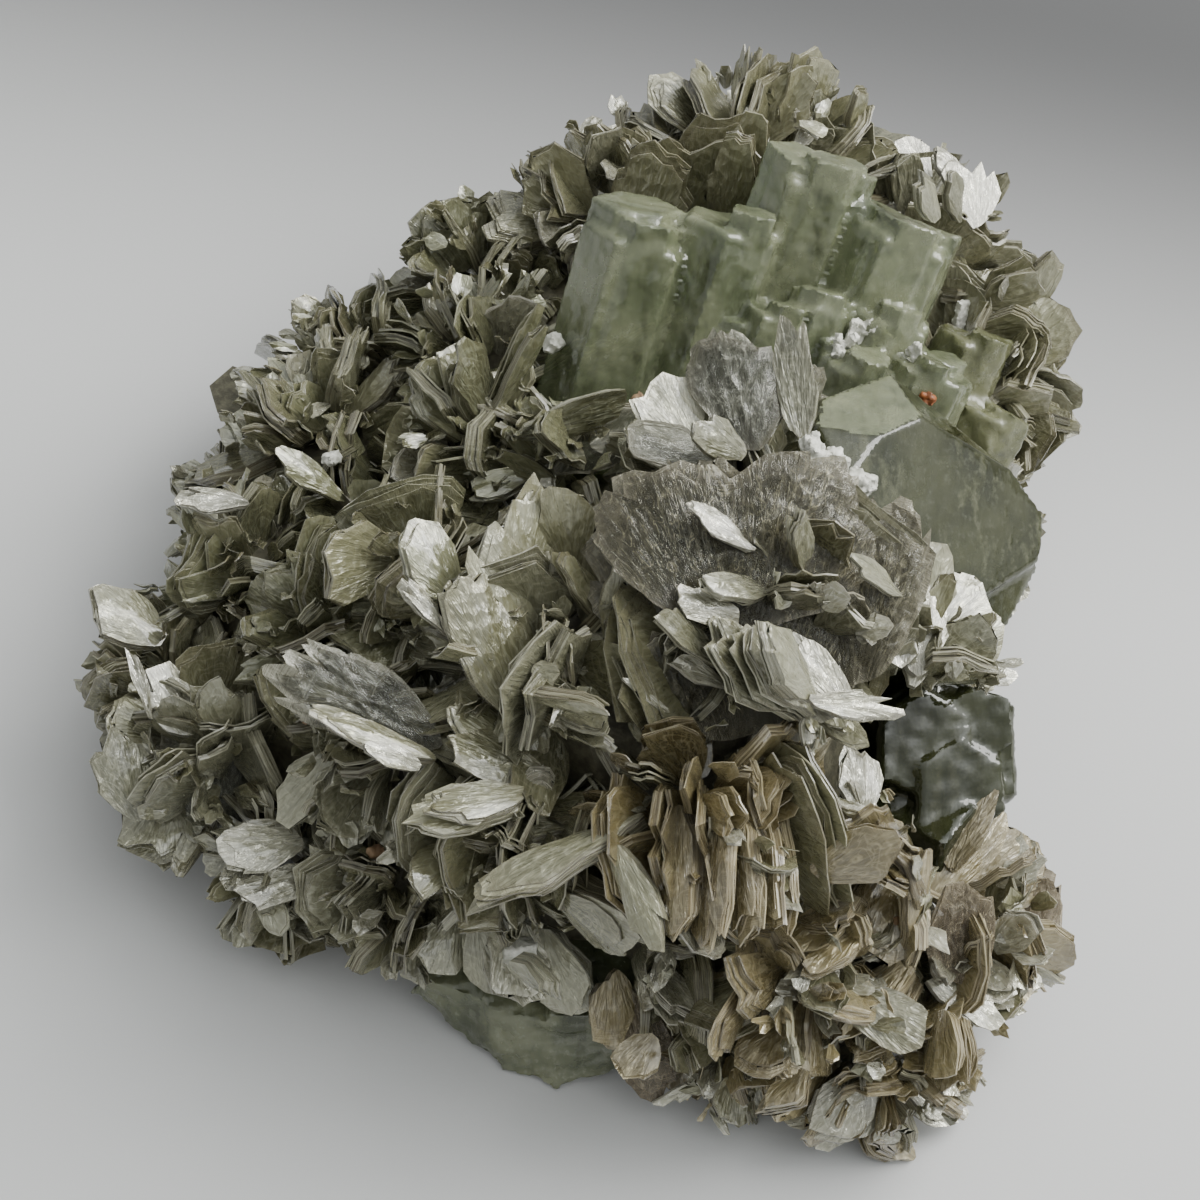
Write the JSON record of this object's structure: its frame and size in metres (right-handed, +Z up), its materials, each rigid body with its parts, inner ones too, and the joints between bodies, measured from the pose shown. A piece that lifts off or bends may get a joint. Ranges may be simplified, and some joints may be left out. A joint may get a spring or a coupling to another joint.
{
  "type": "aquamarine on muscovite specimen",
  "caption": "Free-standing mineral specimen: a lumpy, flat-based mass of muscovite mica rosettes and thin stacked books, with stubby translucent pale green aquamarine prisms among them.",
  "frame": {"origin": "on the flat, trimmed base face, at the point where the specimen rests, under the middle of the muscovite bed", "axes": "+Z up, away from the base face; -Y towards the viewer, the side with the summit rosette; +X to the viewer's right, the side with the largest aquamarine crystals"},
  "size_m": [0.1047, 0.113, 0.0556],
  "materials": {
    "muscovite": "thin, pearly, semi-translucent khaki to silver mica plates, glossy on the cleavage faces and finely layered on the edges",
    "muscovite_bed": "darker, duller mass of small intergrown mica scales in the hollows between the rosettes",
    "aquamarine": "pale grey-green translucent crystal with frosted, lightly etched faces and milky veils inside"
  },
  "bodies": {
    "root": {"aquamarine_cluster": "aquamarine", "aquamarine_dark_crystals": "aquamarine", "aquamarine_foot_crystal": "aquamarine", "back_rosette_east": "muscovite", "back_rosette_west": "muscovite", "brown_rosette": "muscovite", "compressed_folds": "muscovite", "crossed_blades": "muscovite", "crown_rosette_east": "muscovite", "crown_rosette_peak": "muscovite", "crown_rosette_west": "muscovite", "dark_foot_rosette": "muscovite", "ear_plates": "muscovite", "east_foot_rosette": "muscovite", "east_rosette_lower": "muscovite", "east_rosette_upper": "muscovite", "far_west_rosette": "muscovite", "front_books": "muscovite", "front_foot_rosette": "muscovite", "front_sheaf": "muscovite", "golden_rosette": "muscovite", "leaf_rosette": "muscovite", "left_summit_rosette": "muscovite", "lobed_rosette": "muscovite", "muscovite_bed": "muscovite_bed", "nested_rosette": "muscovite", "north_rosette": "muscovite", "north_rosette_inner": "muscovite", "northwest_book": "muscovite", "northwest_rosette": "muscovite", "silver_foot_book": "muscovite", "south_tip_rosette": "muscovite", "southeast_rosette": "muscovite", "southwest_rosette": "muscovite", "standing_plates": "muscovite", "summit_rosette": "muscovite", "west_crest_book": "muscovite", "west_discs": "muscovite", "west_fan": "muscovite", "west_rosette": "muscovite"}
  },
  "joints": []
}
